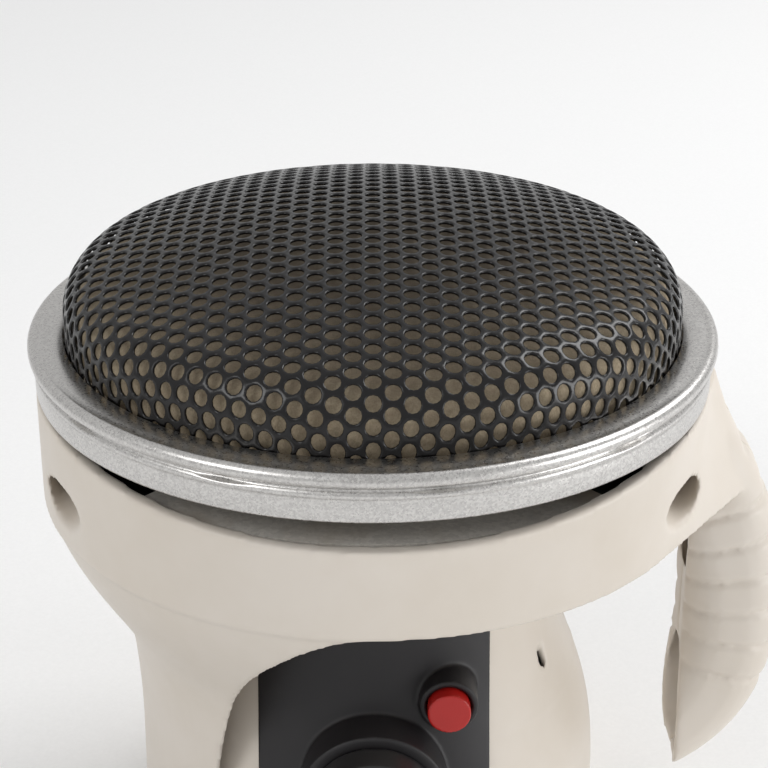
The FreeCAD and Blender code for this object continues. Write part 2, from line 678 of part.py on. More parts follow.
def regulator():
    """Regulator body with the cylinder thread in its underside and the valve boss at its front."""
    body = disc(regulator_radius, 0, regulator_top)
    flange = disc(flange_radius, plate_z - flange_sheet - seat_gap, plate_z - seat_gap)
    boss = rod(nose_radius + boss_collar, -regulator_radius - boss_reach, -regulator_radius / 2, 0, knob_z)
    body = body.fuse(flange).fuse(boss)
    body = body.cut(disc(thread_radius, -1, thread_length))
    body = body.cut(disc(gasket_radius + seat_gap, thread_length - 1, gasket_top))
    body = body.cut(disc(pin_radius + pin_room, gasket_top - 1, pin_top))
    body = body.cut(disc(jet_radius, regulator_top - jet_seat, regulator_top + 1))
    body = body.cut(rod(nose_radius, -2 * regulator_radius, valve_back, 0, knob_z))
    return body.removeSplitter()


save("regulator", regulator())
save("cylinder_gasket", ring(gasket_radius, gasket_bore, thread_length + seat_gap, gasket_top))
save("depressor_pin", disc(pin_radius, thread_length + 2 * seat_gap, pin_top))

carrier = disc(barrel_outer(plate_z) - barrel_wall - 1.0, plate_z, plate_z + plate_sheet)
carrier = carrier.cut(disc(regulator_radius + seat_gap, plate_z - 1, plate_z + 5))
for x, y in on_circle(plate_screw_circle, 3, 90):
    carrier = carrier.cut(disc(screw_radius + seat_gap, plate_z - 1, plate_z + 5, x, y))
slot_half = nose_radius + valve_room
slot_end = 8.0 - regulator_radius
valve_slot = Part.makeBox(2 * slot_half, barrel_radius, plate_sheet + 2,
                          vec(-slot_half, slot_end - barrel_radius, plate_z - 1))
save("regulator_plate", carrier.cut(valve_slot))

plate_screws = []
for x, y in on_circle(plate_screw_circle, 3, 90):
    shank = disc(screw_radius, plate_z, plate_z + plate_sheet + ledge_height, x, y)
    head = disc(screw_head_radius, plate_z - screw_head_height, plate_z, x, y)
    plate_screws.append(shank.fuse(head).removeSplitter())
save("plate_screws", *plate_screws)

nut = hexagon(2 * (regulator_radius + nut_wall), plate_z + plate_sheet + seat_gap, regulator_top - jet_seat)
nut = nut.cut(disc(regulator_radius + seat_gap, 0, regulator_top + 1))
nut_gap = rod(slot_half, -2 * regulator_radius, -regulator_radius / 2, 0, knob_z)
save("regulator_nut", nut.cut(nut_gap))

jet = hexagon(2 * jet_radius + 3, regulator_top, regulator_top + jet_hexagon)
jet = jet.fuse(disc(jet_radius, regulator_top - jet_seat, regulator_top))
jet = jet.fuse(disc(jet_radius - 1, regulator_top + jet_hexagon, regulator_top + jet_length))
save("gas_jet", jet.cut(disc(jet_bore, 0, regulator_top + jet_length + 1)).removeSplitter())

tube_bottom = regulator_top + jet_length - 3.0
tube_top = level(pan_drop) + pan_sheet + 1.5
tube_flange = disc(tube_radius + 4, level(pan_drop) + pan_sheet + seat_gap, tube_top)
tube = disc(tube_radius, tube_bottom, tube_top).fuse(tube_flange).cut(
    disc(tube_radius - tube_wall, tube_bottom - 1, tube_top + 1))
for turn in (0, 90):
    air_hole = rod(2.2, -2 * tube_radius, 2 * tube_radius, 0, tube_bottom + 5)
    air_hole.rotate(vec(0, 0, 0), UP, turn)
    tube = tube.cut(air_hole)
save("mixing_tube", tube.removeSplitter())

# ---- valve, knob and igniter ------------------------------------------------------------------
knob_bar = 7.0                # width of the bar that is turned
grip_scoop = 9.0
knob_bore_depth = 10.0
nut_stand = 0.6               # how far the nose stands out of its nut
nose_face = dial_face - nut_height - nut_stand
collar_face = -barrel_outer(knob_z + nose_radius + 2.5) + barrel_wall + seat_gap
valve = rod(nose_radius, nose_face, valve_back, 0, knob_z).fuse(rod(nose_radius + 2.5, collar_face,
                                                                    collar_face + 6, 0, knob_z))
stem_end = valve_back - 6.0
valve = valve.cut(rod(stem_radius + shaft_gap, nose_face - 1, stem_end, 0, knob_z))
save("valve_body", valve.removeSplitter())

nut_face = dial_face - seat_gap - nut_height
valve_nut = hexagon(2 * nose_radius + 5, 0, nut_height)
valve_nut.rotate(vec(0, 0, 0), vec(1, 0, 0), -90)
valve_nut.translate(vec(0, nut_face, knob_z))
save("valve_nut", valve_nut.cut(rod(nose_radius + seat_gap, nut_face - 1, nut_face + nut_height + 1, 0, knob_z)))

knob_back = dial_face - 2 * run_gap
knob_front = knob_back - knob_height
stem_front = knob_front + knob_height - knob_bore_depth - 3.0
save("valve_stem", rod(stem_radius, stem_front, stem_end - 0.5, 0, knob_z))


def control_knob():
    """Round skirt with a finger bar across it and a moulded pointer line."""
    skirt = Part.makeCone(knob_radius, knob_radius - 1.0, knob_skirt, vec(0, knob_back, knob_z), vec(0, -1, 0))
    drum = Part.makeCone(knob_radius - 3.0, knob_radius - 4.5, knob_height - knob_skirt,
                         vec(0, knob_back - knob_skirt, knob_z), vec(0, -1, 0))
    for side in (-1, 1):
        scoop = Part.makeCylinder(grip_scoop, 3 * knob_radius,
                                  vec(side * (grip_scoop + knob_bar / 2), knob_back - knob_skirt - 0.8,
                                      knob_z - 1.5 * knob_radius), UP)
        block = Part.makeBox(2 * grip_scoop, knob_height, 3 * knob_radius,
                             vec(side * (grip_scoop + knob_bar / 2) - grip_scoop,
                                 knob_back - knob_skirt - 0.8 - knob_height, knob_z - 1.5 * knob_radius))
        drum = drum.cut(scoop.fuse(block).common(Part.makeBox(
            4 * knob_radius, 2 * knob_height, 4 * knob_radius,
            vec(-2 * knob_radius, knob_back - knob_skirt - 2 * knob_height, knob_z - 2 * knob_radius))))
    body = skirt.fuse(drum).removeSplitter()
    pocket = nut_height + 2.0
    body = body.cut(rod(nose_radius + 4.5, knob_back - pocket, knob_back + 1, 0, knob_z))
    return body.cut(rod(stem_radius, stem_front, knob_back + 1, 0, knob_z))


save("control_knob", control_knob())

button_face = sleeve_face - button_stand
plunger_radius = 2.6
piezo_radius = 7.0
piezo_length = 26.0
button_back = piezo_face - button_travel - 1.0
button = rod(button_radius, button_face, button_back, button_x, button_z)
button = button.cut(rod(plunger_radius, button_back - 4, button_back + 1, button_x, button_z))
save("igniter_button", button)
plunger_end = piezo_face + 8.0
save("piezo_plunger", rod(plunger_radius, button_back - 4, plunger_end, button_x, button_z))
piezo = rod(piezo_radius, piezo_face + seat_gap, piezo_face + piezo_length, button_x, button_z)
piezo = piezo.cut(rod(plunger_radius + run_gap, piezo_face - 1, plunger_end + button_travel + 1, button_x, button_z))
save("piezo_igniter", piezo)

sleeve_bottom = level(pan_drop) - 4.0
sleeve_top = level(mat_top_drop) + 1.0
crown_sag = guard_crown - math.sqrt(guard_crown ** 2 - electrode_x ** 2 - electrode_y ** 2)
electrode_tip = level(-guard_rise) - crown_sag - guard_sheet - pad_gap + electrode_stand
rod_solid = disc(electrode_radius, sleeve_bottom - 2.0, electrode_tip, electrode_x, electrode_y)
save("spark_electrode", rod_solid)
save("electrode_sleeve", disc(electrode_sleeve_radius, sleeve_bottom, sleeve_top, electrode_x, electrode_y).cut(rod_solid))

# the lead runs inside, from the piezo unit up through the barrel's top and the liner
lead_points = [vec(button_x, piezo_face + piezo_length, button_z), vec(button_x, lead_hole[1], button_z),
               vec(lead_hole[0], lead_hole[1], level(33.0)),
               vec(electrode_x, electrode_y, level(31.0)), vec(electrode_x, electrode_y, sleeve_bottom - 2.0)]


def rounded_path(points):
    """Straight runs joined by tangent arcs as large as the shorter run beside each corner allows."""
    edges = []
    start = points[0]
    for before, corner, after in zip(points, points[1:], points[2:]):
        arrive = (corner - before)
        leave = (after - corner)
        reach = 0.45 * min(arrive.Length, leave.Length)
        arrive.normalize()
        leave.normalize()
        first = corner - arrive * reach
        last = corner + leave * reach
        turn = arrive.getAngle(leave)
        radius = reach / math.tan(turn / 2)
        inward = leave - arrive
        inward.normalize()
        middle = corner + inward * (radius / math.cos(turn / 2) - radius)
        print("lead bend", round(radius, 1))
        edges += [Part.LineSegment(start, first).toShape(), Part.Arc(first, middle, last).toShape()]
        start = last
    edges.append(Part.LineSegment(start, points[-1]).toShape())
    return Part.Wire(edges)


lead_path = rounded_path(lead_points)
section = Part.Wire(Part.makeCircle(lead_radius, lead_points[0], BACK))
lead = lead_path.makePipeShell([section], True, False)
print("lead volume", round(lead.Volume, 1), "expected", round(math.pi * lead_radius ** 2 * lead_path.Length, 1))
save("igniter_lead", lead)
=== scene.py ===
# %% [markdown]
# # A portable catalytic heater, finished in Blender
# The CAD model holds every piece of the heater at its real size. This lesson gives those pieces
# their looks: the perforated guard, the felt behind it, the rolled steel ring, the moulded
# housing with its ribbed handle, and the black control panel. We start by loading the frame and
# keeping its size, because nothing we add may grow past it.

# %% Load the frame
import math

import bmesh
import bpy
from mathutils import Euler, Matrix, Vector, noise


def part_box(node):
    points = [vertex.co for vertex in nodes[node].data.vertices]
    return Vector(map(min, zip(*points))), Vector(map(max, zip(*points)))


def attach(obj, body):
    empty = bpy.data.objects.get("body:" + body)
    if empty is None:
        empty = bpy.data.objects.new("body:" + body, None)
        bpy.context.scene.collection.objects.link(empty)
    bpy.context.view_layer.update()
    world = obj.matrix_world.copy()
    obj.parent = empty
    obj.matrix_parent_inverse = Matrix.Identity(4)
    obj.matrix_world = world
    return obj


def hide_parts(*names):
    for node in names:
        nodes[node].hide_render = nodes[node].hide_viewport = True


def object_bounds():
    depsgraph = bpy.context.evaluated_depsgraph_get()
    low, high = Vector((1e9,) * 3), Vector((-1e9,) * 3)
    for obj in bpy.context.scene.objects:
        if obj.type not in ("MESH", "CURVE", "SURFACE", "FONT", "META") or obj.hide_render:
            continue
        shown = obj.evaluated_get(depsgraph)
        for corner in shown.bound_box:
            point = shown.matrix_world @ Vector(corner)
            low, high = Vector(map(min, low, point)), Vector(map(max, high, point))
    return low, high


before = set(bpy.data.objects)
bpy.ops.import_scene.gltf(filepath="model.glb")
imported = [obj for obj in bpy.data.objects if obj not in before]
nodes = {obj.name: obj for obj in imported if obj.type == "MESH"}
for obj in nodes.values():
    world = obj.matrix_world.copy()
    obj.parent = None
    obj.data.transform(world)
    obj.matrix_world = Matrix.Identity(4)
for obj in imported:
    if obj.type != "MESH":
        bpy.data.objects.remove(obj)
cad_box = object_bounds()
MM = 0.001
print("frame", len(nodes), "nodes,", [round(v / MM) for v in (cad_box[1] - cad_box[0])], "mm")

# %% [markdown]
# The head is a body of revolution, so a few measures of its pieces place everything else: the
# level and radius of the rolled ring, and the radius and top of the guard.

# %% Measures of the head
ring_low, ring_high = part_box("retaining_ring")
guard_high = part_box("guard_screen")[1]
skirt_drop = 10.6 * MM
ring_level = ring_low.z + skirt_drop
ring_radius = ring_high.x
bead_radius = 1.9 * MM
guard_radius = 79.5 * MM
guard_rise = guard_high.z - ring_level
crown_radius = 236.7 * MM
shoulder_radius = 11.9 * MM
print("ring level", round(ring_level / MM, 2), "ring radius", round(ring_radius / MM, 2),
      "guard rise", round(guard_rise / MM, 2))

# %% [markdown]
# The camera stands in front of the panel and looks down on the head at about 23 degrees, from
# half a metre away, through a long lens. It is aimed a little under the ring, so that the head
# fills the upper part of the frame and the housing runs down to the lower edge.

# %% Camera
VIEW_ELEVATION = math.radians(23.5)
VIEW_DISTANCE = 6.0 * ring_radius
LENS_SHARE = 2.669          # focal length over sensor width
AIM_RIGHT = math.radians(0.335)
AIM_DOWN = math.radians(1.668)

camera_data = bpy.data.cameras.new("camera")
camera_data.sensor_width = 36.0  # millimetres, as Blender wants it
camera_data.lens = LENS_SHARE * camera_data.sensor_width
camera = bpy.data.objects.new("camera", camera_data)
bpy.context.scene.collection.objects.link(camera)
bpy.context.scene.camera = camera
ring_centre = Vector((0, 0, ring_level))
towards_camera = Vector((0, -math.cos(VIEW_ELEVATION), math.sin(VIEW_ELEVATION)))
camera.location = ring_centre + VIEW_DISTANCE * towards_camera
camera.rotation_euler = Euler((math.pi / 2 - VIEW_ELEVATION - AIM_DOWN, 0, -AIM_RIGHT))
print("camera at", [round(v, 3) for v in camera.location], "lens", round(camera_data.lens, 1))

# %% [markdown]
# Materials are node trees, and sums in a node tree are tedious to wire by hand. `Wire` wraps one
# socket and gives it the usual operators, so that `1 - mask * 0.3` adds its own Math nodes.
# `Finish` is a material with a Principled shader and one method that adds any other node.

# %% Shader sums as Python expressions


class Wire:
    """An output socket that can be added, subtracted and multiplied."""

    def __init__(self, finish, socket):
        self.finish = finish
        self.socket = socket

    def math(self, operation, first, second):
        return self.finish.add("ShaderNodeMath", {"operation": operation}, {0: first, 1: second})

    def __add__(self, other):
        return self.math("ADD", self, other)

    def __radd__(self, other):
        return self.math("ADD", other, self)

    def __sub__(self, other):
        return self.math("SUBTRACT", self, other)

    def __rsub__(self, other):
        return self.math("SUBTRACT", other, self)

    def __mul__(self, other):
        return self.math("MULTIPLY", self, other)

    def __rmul__(self, other):
        return self.math("MULTIPLY", other, self)


class Finish:
    """A material named for what it is, with a Principled shader."""

    def __init__(self, name):
        self.material = bpy.data.materials.new(name)
        self.material.use_nodes = True
        self.tree = self.material.node_tree
        self.tree.nodes.clear()
        self.shader = self.tree.nodes.new("ShaderNodeBsdfPrincipled")
        output = self.tree.nodes.new("ShaderNodeOutputMaterial")
        self.tree.links.new(self.shader.outputs[0], output.inputs["Surface"])

    def plug(self, socket, value):
        if isinstance(value, Wire):
            self.tree.links.new(value.socket, socket)
        else:
            socket.default_value = value

    def add(self, kind, settings=None, sockets=None, output=0):
        node = self.tree.nodes.new(kind)
        for key, value in (settings or {}).items():
            setattr(node, key, value)
        for key, value in (sockets or {}).items():
            self.plug(node.inputs[key], value)
        return Wire(self, node.outputs[output])

    def place(self):
        return self.add("ShaderNodeTexCoord", output="Object")

    def noise(self, scale, detail=2.0, roughness=0.5, stretch=None):
        """Noise of about 1/scale metres, over the piece's own place, from 0 to 1."""
        where = self.place()
        if stretch:
            where = self.add("ShaderNodeMapping", None, {"Vector": where, "Scale": stretch})
        return self.add("ShaderNodeTexNoise", None,
                        {"Vector": where, "Scale": scale, "Detail": detail, "Roughness": roughness})

    def between(self, factor, low, high):
        """Factor stretched so that low becomes 0 and high becomes 1."""
        return self.add("ShaderNodeMapRange", {"clamp": True},
                        {"Value": factor, "From Min": low, "From Max": high})

    def mix(self, factor, first, second):
        return self.add("ShaderNodeMix", {"data_type": "RGBA"},
                        {0: factor, 6: first, 7: second}, output=2)

    def bump(self, height, strength, distance):
        return self.add("ShaderNodeBump", None,
                        {"Height": height, "Strength": strength, "Distance": distance})

    def finish(self, **sockets):
        for name, value in sockets.items():
            self.plug(self.shader.inputs[name.replace("_", " ")], value)
        return self.material


def colour(red, green, blue):
    """A colour given as it looks on screen, 0 to 255, turned into the linear values Blender wants."""
    def linear(v):
        v = v / 255
        return v / 12.92 if v <= 0.04045 else ((v + 0.055) / 1.055) ** 2.4
    return (linear(red), linear(green), linear(blue), 1.0)


print("shader helpers ready")

# %% [markdown]
# The housing is injection moulded in a warm grey. Such plastic is never one flat colour: it has a
# very faint cloudiness, and the mould's spark-eroded skin breaks up its highlights. Both come
# from noise on the piece's own coordinates, so that they stay put when the camera moves.

# %% Moulded plastics


def moulded_plastic(name, base, deeper, roughness, skin=0.10, skin_scale=2600.0):
    finish = Finish(name)
    cloud = finish.noise(26.0, 4.0, 0.6)
    grain = finish.noise(skin_scale, 2.0, 0.6)
    tint = finish.mix(finish.between(cloud, 0.35, 0.7), base, deeper)
    rough = roughness + (finish.noise(90.0, 3.0) - 0.5) * 0.10 + (grain - 0.5) * 0.08
    return finish.finish(Base_Color=tint, Roughness=rough, Specular_IOR_Level=0.45,
                         Normal=finish.bump(grain, skin, 0.00008))


housing_plastic = moulded_plastic("housing_plastic", colour(214, 206, 196), colour(208, 199, 187), 0.42)
panel_plastic = moulded_plastic("panel_plastic", colour(31, 29, 31), colour(27, 25, 27), 0.5,
                                0.18, 2200.0)
knob_plastic = moulded_plastic("knob_plastic", colour(38, 37, 38), colour(33, 32, 33), 0.36, 0.15)
liner_plastic = moulded_plastic("liner_plastic", colour(24, 23, 24), colour(19, 18, 19), 0.5)
button_plastic = moulded_plastic("button_plastic", colour(178, 32, 26), colour(165, 26, 22), 0.25, 0.05)
plastics = (housing_plastic, panel_plastic, knob_plastic, liner_plastic, button_plastic)
print("plastics", [plastic.name for plastic in plastics])

# %% [markdown]
# The head's sheet metal is aluminised steel. Its skin is a fine silver mottle, duller than chrome:
# tiny patches differ in brightness and in gloss. A cell texture gives the patches and noise
# breaks them up. The heat shield is the same kind of sheet, but dull and heat-stained.

# %% Metals


def sheet_metal(name, bright, dark, roughness, spread, patch=1500.0, stain=None, metallic=1.0):
    finish = Finish(name)
    cells = finish.add("ShaderNodeTexVoronoi", None, {"Vector": finish.place(), "Scale": patch},
                       output="Color")
    patches = finish.add("ShaderNodeSeparateColor", None, {"Color": cells})
    fine = finish.noise(2.2 * patch, 3.0, 0.65)
    mottle = patches * 0.55 + fine * 0.45
    tint = finish.mix(finish.between(mottle, 0.25, 0.75), dark, bright)
    if stain:
        tint = finish.mix(finish.between(finish.noise(45.0, 5.0, 0.6), 0.45, 0.75), tint, stain)
    rough = roughness + (mottle - 0.5) * spread
    return finish.finish(Base_Color=tint, Metallic=metallic, Roughness=rough,
                         Normal=finish.bump(mottle, 0.22, 0.00006))


ring_steel = sheet_metal("ring_steel", colour(216, 214, 211), colour(190, 188, 186), 0.31, 0.16,
                         2400.0)
shield_steel = sheet_metal("shield_steel", colour(226, 221, 213), colour(208, 203, 195), 0.5, 0.2,
                           1100.0, colour(190, 178, 162), 0.2)
plain_steel = sheet_metal("plain_steel", colour(196, 196, 196), colour(168, 168, 168), 0.34, 0.15)
brass = sheet_metal("brass", colour(214, 178, 98), colour(190, 152, 78), 0.28, 0.12)
zinc = sheet_metal("zinc_casting", colour(168, 168, 170), colour(140, 140, 143), 0.45, 0.2)
print("metals", [m.name for m in (ring_steel, shield_steel, plain_steel, brass, zinc)])

# %% [markdown]
# The guard is dipped in heat-proof black enamel. Enamel flows before it sets, so it is glossy but
# slightly wavy. The catalyst pad behind it is a felt of ceramic fibre that has gone brownish in
# use: matt, with short fibres in every direction and darker blotches. Its colour is also made darker
# towards the top.

# %% Enamel, felt and the small soft parts
enamel = Finish("black_enamel")
wave = enamel.noise(420.0, 3.0, 0.55)
depth = enamel.between(enamel.noise(60.0, 4.0), 0.4, 0.7)
enamel_black = enamel.finish(
    Base_Color=enamel.mix(depth, colour(10, 9, 10), colour(17, 15, 16)),
    Roughness=0.22 + (wave - 0.5) * 0.16, Specular_IOR_Level=0.4,
    Normal=enamel.bump(wave, 0.18, 0.00015))

felt = Finish("catalyst_felt")
fibres_one = felt.noise(900.0, 3.0, 0.7, (1.0, 4.0, 1.0))
fibres_two = felt.noise(900.0, 3.0, 0.7, (4.0, 1.0, 2.0))
fibres = (fibres_one + fibres_two) * 0.5
blotch = felt.between(felt.noise(130.0, 5.0, 0.65), 0.35, 0.68)
felt_tint = felt.mix(felt.between(fibres, 0.36, 0.64), colour(168, 152, 128), colour(212, 196, 168))
height = felt.add("ShaderNodeSeparateXYZ", None, {"Vector": felt.place()}, output="Z")
# darker towards the top: from 8 to 24 mm above the ring the felt is mixed towards dark brown
top_darkening = felt.between(height, ring_level + 8 * MM, ring_level + 24 * MM)
felt_tint = felt.mix(blotch * 0.5, felt_tint, colour(138, 120, 98))
catalyst_felt = felt.finish(
    Base_Color=felt.mix(top_darkening * 0.8, felt_tint, colour(58, 52, 46)), Roughness=1.0,
    Normal=felt.bump(fibres, 0.7, 0.0004))


def soft_part(name, base, roughness):
    finish = Finish(name)
    grain = finish.noise(700.0, 4.0, 0.6)
    tint = finish.mix(grain * 0.5, base, tuple(c * 0.6 for c in base[:3]) + (1.0,))
    return finish.finish(Base_Color=tint, Roughness=roughness, Normal=finish.bump(grain, 0.3, 0.0002))


ceramic_mat = soft_part("ceramic_mat", colour(232, 229, 220), 0.95)
rubber = soft_part("gasket_rubber", colour(36, 36, 36), 0.6)
ceramic = soft_part("sleeve_ceramic", colour(236, 233, 224), 0.3)
print("enamel", enamel_black.name, "felt", catalyst_felt.name)

# %% [markdown]
# ## The guard's shape
# The guard is pressed from flat perforated sheet: a shallow crown, a tight shoulder, a nearly
# upright wall, and a flange under the ring. `guard_line` walks that outline from the middle
# outwards. It returns the place and the outward direction at a distance along the sheet, moved
# in by an inset, so the pad behind the guard can use it too.

# %% The outline of a pressed dome
FOOT_RADIUS = 2.2 * MM      # bend from the wall to the flange
FOOT_LEVEL = 1.2 * MM       # the flange's height below the ring's widest line


def dome_stretches(inset):
    """Lengths and centres of the crown, shoulder and wall."""
    crown = crown_radius - inset
    shoulder = shoulder_radius - inset
    radius = guard_radius - inset
    crown_z = ring_level + guard_rise - inset - crown
    shoulder_r = radius - shoulder
    shoulder_z = crown_z + math.sqrt((crown - shoulder) ** 2 - shoulder_r ** 2)
    tilt = math.atan2(shoulder_r, shoulder_z - crown_z)
    return crown, shoulder, radius, crown_z, shoulder_r, shoulder_z, tilt


def dome_line(distance, inset=0.0, foot_radius=FOOT_RADIUS, foot_level=FOOT_LEVEL):
    """Radius, height and outward direction at a distance along the dome from its middle."""
    crown, shoulder, radius, crown_z, shoulder_r, shoulder_z, tilt = dome_stretches(inset)
    if distance < crown * tilt:
        angle = distance / crown
        return (crown * math.sin(angle), crown_z + crown * math.cos(angle),
                math.sin(angle), math.cos(angle))
    distance -= crown * tilt
    if distance < shoulder * (math.pi / 2 - tilt):
        angle = tilt + distance / shoulder
        return (shoulder_r + shoulder * math.sin(angle), shoulder_z + shoulder * math.cos(angle),
                math.sin(angle), math.cos(angle))
    distance -= shoulder * (math.pi / 2 - tilt)
    wall = shoulder_z - (ring_level - foot_level) - foot_radius
    if distance < wall:
        return radius, shoulder_z - distance, 1.0, 0.0
    distance -= wall
    if distance < foot_radius * math.pi / 2:
        angle = distance / foot_radius
        return (radius + foot_radius * (1 - math.cos(angle)),
                shoulder_z - wall - foot_radius * math.sin(angle), math.cos(angle), math.sin(angle))
    distance -= foot_radius * math.pi / 2
    return radius + foot_radius + distance, shoulder_z - wall - foot_radius, 0.0, 1.0


def dome_length(inset=0.0, foot_radius=FOOT_RADIUS, foot_level=FOOT_LEVEL):
    """Length along the dome from its middle to where the foot begins."""
    crown, shoulder, radius, crown_z, shoulder_r, shoulder_z, tilt = dome_stretches(inset)
    wall = shoulder_z - (ring_level - foot_level) - foot_radius
    return crown * tilt + shoulder * (math.pi / 2 - tilt) + wall


print("from middle to foot", round(dome_length() / MM, 1), "mm")

# %% [markdown]
# Deep drawing keeps the sheet's area. So the flat sheet's radius that ends up at a place on the
# dome is found from area: the dome's area inside that place equals that of the flat disc. On the
# wall this makes the round holes taller and narrower, as on the real guard. We walk the outline
# once in small steps and keep both numbers in a table, which the next cell reads backwards.

# %% Flat sheet to dome
STEP = 0.25 * MM
flange_reach = guard_high.x - guard_radius - 2.6 * MM
reach = dome_length() + FOOT_RADIUS * math.pi / 2 + flange_reach
walk = [(0.0, 0.0)]
area = 0.0
for count in range(1, int(reach / STEP) + 1):
    middle_radius = dome_line((count - 0.5) * STEP)[0]
    area += 2 * math.pi * middle_radius * STEP
    walk.append((math.sqrt(area / math.pi), count * STEP))


def along_dome(flat_radius):
    """Distance along the dome of a point of the flat sheet."""
    low, high = 0, len(walk) - 1
    if flat_radius >= walk[high][0]:
        return walk[high][1]
    while high - low > 1:
        middle = (low + high) // 2
        if walk[middle][0] <= flat_radius:
            low = middle
        else:
            high = middle
    share = (flat_radius - walk[low][0]) / (walk[high][0] - walk[low][0])
    return walk[low][1] + share * (walk[high][1] - walk[low][1])


blank_radius = walk[-1][0]
print("flat blank radius", round(blank_radius / MM, 1), "mm")

# %% [markdown]
# ## The perforated guard
# One cell of the pattern is a hexagon with a round hole, made of faces between circles of twelve
# points. Twelve is enough, because every hole is shaded smooth and is only four millimetres wide.
# The cell gets a rounded lip and a back, and copies of it, welded at their edges, fill the
# blank. Then every point is moved from the flat sheet to the dome.

# %% One cell, a sheet of cells, and the press
HOLE_PITCH = 5.35 * MM
HOLE_RADIUS = 1.98 * MM
LIP = 0.36 * MM
GUARD_SHEET = 0.8 * MM
HOLE_SIDES = 12
# circles between the hexagons on the sheet's face and back: lip, throat and back edge
HOLE_CIRCLES = ((HOLE_RADIUS + LIP, 0.0), (HOLE_RADIUS + 0.09 * MM, -0.12 * MM),
                (HOLE_RADIUS, -0.45 * MM), (HOLE_RADIUS + 0.1 * MM, -GUARD_SHEET))


def hexagon(mesh, height):
    """Twelve points round a cell's edge: six corners and the middles between them."""
    edge = bmesh.ops.create_circle(mesh, segments=HOLE_SIDES, radius=HOLE_PITCH / 2)["verts"]
    for vert in edge:
        turn = math.atan2(vert.co.y, vert.co.x)
        # every other point is a corner of the hexagon, which lies further out
        if round(turn / (math.pi / 6)) % 2 == 0:
            vert.co *= 2 / math.sqrt(3)
        vert.co.z = height


def pattern_cell():
    """A hexagonal cell with a hole whose upper edge is rounded over, 12 faces round."""
    mesh = bmesh.new()
    hexagon(mesh, 0.0)
    for radius, height in HOLE_CIRCLES:
        bmesh.ops.create_circle(mesh, segments=HOLE_SIDES, radius=radius,
                                matrix=Matrix.Translation((0, 0, height)))
    hexagon(mesh, -GUARD_SHEET)
    mesh.verts.ensure_lookup_table()
    for start in range(0, (len(HOLE_CIRCLES) + 1) * HOLE_SIDES, HOLE_SIDES):
        for i in range(HOLE_SIDES):
            after = (i + 1) % HOLE_SIDES
            corners = (i, after, after + HOLE_SIDES, i + HOLE_SIDES)
            mesh.faces.new([mesh.verts[start + corner] for corner in corners])
    return mesh


def cell_places():
    """Middles of the holes: rows run towards the camera, every other row half a pitch on."""
    row_gap = HOLE_PITCH * math.sqrt(3) / 2
    rows = int(blank_radius / row_gap)
    for row in range(-rows, rows + 1):
        x = row * row_gap
        for count in range(-rows - 2, rows + 3):
            y = (count + 0.5 * (row % 2)) * HOLE_PITCH
            if math.hypot(x, y) < blank_radius - 0.4 * HOLE_PITCH:
                yield Vector((x, y, 0))


def piece_from(mesh, name, material, body="root", smooth=True):
    """Turns a bmesh into a piece that rides on a CAD body."""
    for face in mesh.faces:
        face.smooth = smooth
    data = bpy.data.meshes.new(name)
    mesh.to_mesh(data)
    mesh.free()
    data.materials.append(material)
    piece = bpy.data.objects.new(name, data)
    bpy.context.scene.collection.objects.link(piece)
    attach(piece, body)
    return piece


def perforated_sheet():
    cell = pattern_cell()
    one = bpy.data.meshes.new("cell")
    cell.to_mesh(one)
    cell.free()
    sheet = bmesh.new()
    for place in cell_places():
        start = len(sheet.verts)
        sheet.from_mesh(one)
        sheet.verts.ensure_lookup_table()
        for vert in sheet.verts[start:]:
            vert.co += place
    bpy.data.meshes.remove(one)
    bmesh.ops.remove_doubles(sheet, verts=sheet.verts, dist=0.02 * MM)
    return sheet


def press(sheet):
    """Moves every point of the flat sheet to its place on the dome."""
    for vert in sheet.verts:
        flat_radius = math.hypot(vert.co.x, vert.co.y)
        radius, height, out, up = dome_line(along_dome(flat_radius))
        depth = vert.co.z
        share = (radius + out * depth) / flat_radius if flat_radius > 1e-9 else 1.0
        vert.co = Vector((vert.co.x * share, vert.co.y * share, height + up * depth))


sheet = perforated_sheet()
press(sheet)
bmesh.ops.recalc_face_normals(sheet, faces=sheet.faces)
holes = sum(1 for place in cell_places())
faces = len(sheet.faces)
guard = piece_from(sheet, "guard_perforated", enamel_black)
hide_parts("guard_screen")
print("guard:", holes, "holes,", faces, "faces")

# %% [markdown]
# ## The catalyst pad
# Close behind the guard sits the felt. It has the guard's outline moved in, so its line is spun
# round the axis. A little noise along the normals keeps it from looking turned on a lathe.

# %% The felt dome
PAD_INSET = 3.2 * MM
PAD_THICKNESS = 6.0 * MM
PAD_POINTS = 44
PAD_INNER_POINTS = 20


def spun(line, steps):
    """Spins a line of (radius, height) points round the head's axis."""
    mesh = bmesh.new()
    verts = [mesh.verts.new((radius, 0, height)) for radius, height in line]
    edges = [mesh.edges.new(pair) for pair in zip(verts, verts[1:])]
    bmesh.ops.spin(mesh, geom=verts + edges, cent=(0, 0, 0), axis=(0, 0, 1), angle=2 * math.pi,
                   steps=steps, use_merge=True)
    bmesh.ops.remove_doubles(mesh, verts=mesh.verts, dist=0.005 * MM)
    return mesh


def dome_points(inset, points, foot_level):
    """Points down the dome's outline, without a foot, as (radius, height)."""
    length = dome_length(inset, 0.0, foot_level)
    return [dome_line(length * i / points, inset, 0.0, foot_level)[:2] for i in range(points + 1)]


def felt_dome():
    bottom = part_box("catalyst_pad")[0].z
    outer = dome_points(PAD_INSET, PAD_POINTS, ring_level - bottom)
    inner = dome_points(PAD_INSET + PAD_THICKNESS, PAD_INNER_POINTS, ring_level - bottom)
    mesh = spun(outer + inner[::-1], 160)
    bmesh.ops.recalc_face_normals(mesh, faces=mesh.faces)
    mesh.normal_update()
    for vert in mesh.verts:
        if vert.co.z > bottom + MM:
            vert.co += vert.normal * (noise.noise(vert.co * 130.0) * 0.35 - 0.3) * MM
    return mesh


